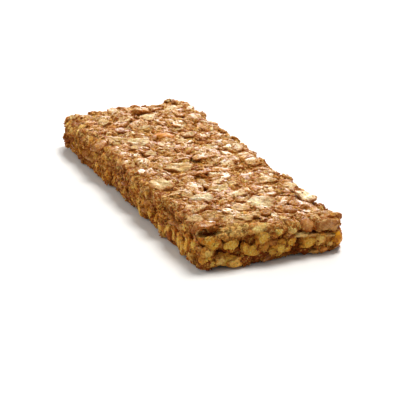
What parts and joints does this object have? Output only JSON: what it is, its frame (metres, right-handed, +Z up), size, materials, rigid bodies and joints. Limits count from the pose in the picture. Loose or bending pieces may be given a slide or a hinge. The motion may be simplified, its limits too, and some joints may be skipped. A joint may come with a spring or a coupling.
{
  "type": "granola bar",
  "caption": "Baked granola bar: a cut slab of pressed oat flakes and puffed cereal crisps with a few fruit and nut bits, lying flat.",
  "frame": {"origin": "middle of the footprint, on the flat baked base", "axes": "+X along the bar to its near end, -Y to its left side as seen from that end, +Z up through the thickness"},
  "size_m": [0.1001, 0.0387, 0.0109],
  "materials": {
    "baked_oats": "crumbly baked oat mass held by browned syrup, dull with a faint glaze",
    "oat_flake": "toasted rolled oat flakes, tan with browned edges, striated, thinly glazed on the top",
    "cereal_crisp": "golden puffed cereal crisps, porous and dry where cut",
    "fruit": "glazed orange-brown dried fruit",
    "nut": "toasted nut pieces with a brown skin"
  },
  "bodies": {
    "root": {"bar": "baked_oats"}
  },
  "joints": []
}
